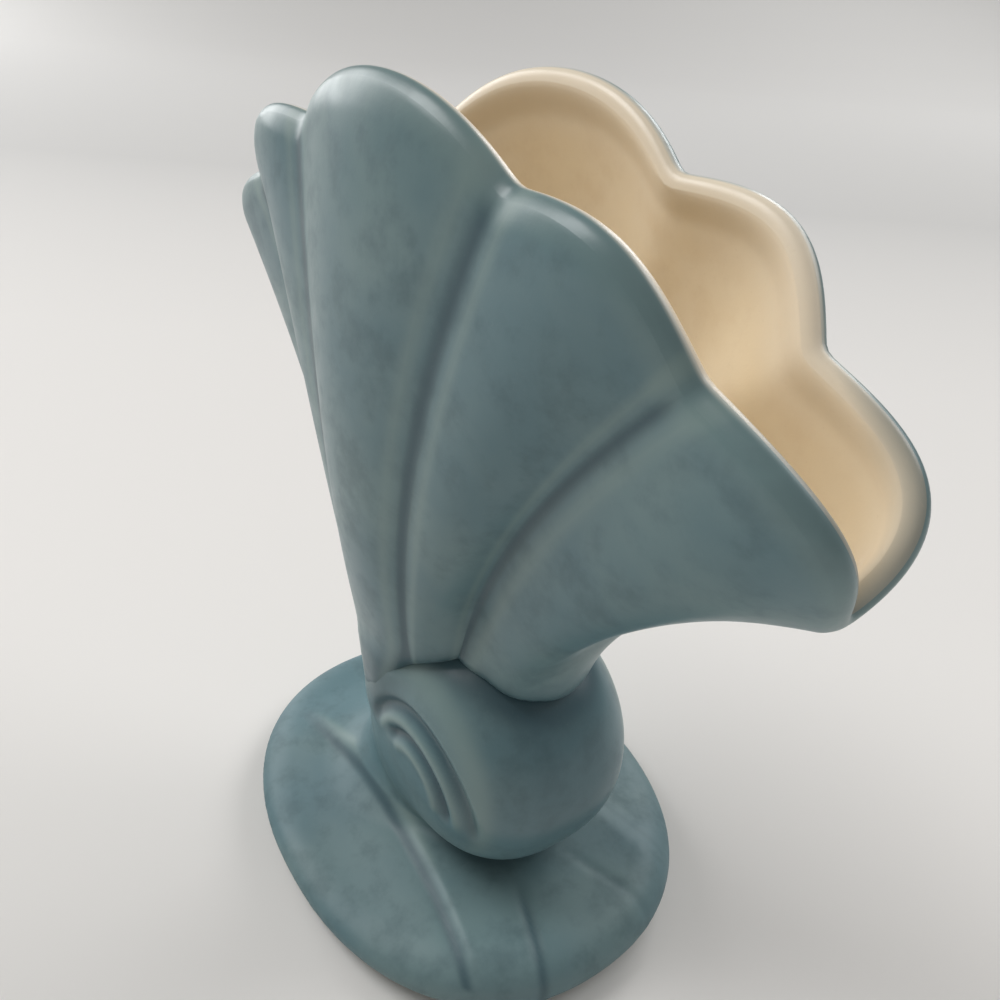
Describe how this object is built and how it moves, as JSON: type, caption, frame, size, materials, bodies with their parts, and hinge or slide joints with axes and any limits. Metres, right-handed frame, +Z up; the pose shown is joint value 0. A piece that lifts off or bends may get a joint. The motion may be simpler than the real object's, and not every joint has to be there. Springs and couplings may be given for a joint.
{
  "type": "fan vase",
  "caption": "Fan-shaped fluted pottery vase with a scalloped rim, rising from a carved scroll on a rounded oblong foot, glazed outside and in.",
  "frame": {"origin": "on the table plane, under the middle of the fan's mouth, which is the middle of the bounding box's underside", "axes": "+Z up, X along the wide mouth with the scroll's round barrel towards +X, Y from face to face"},
  "size_m": [0.2096, 0.1098, 0.2024],
  "materials": {
    "outer_glaze": "satin dusty blue glaze",
    "inner_glaze": "satin cream glaze",
    "bare_clay": "unglazed, wiped"
  },
  "bodies": {
    "root": {"fan_bowl": "outer_glaze", "bowl_lining": "inner_glaze", "scroll": "outer_glaze", "foot": "outer_glaze", "foot_ring": "bare_clay"}
  },
  "joints": []
}
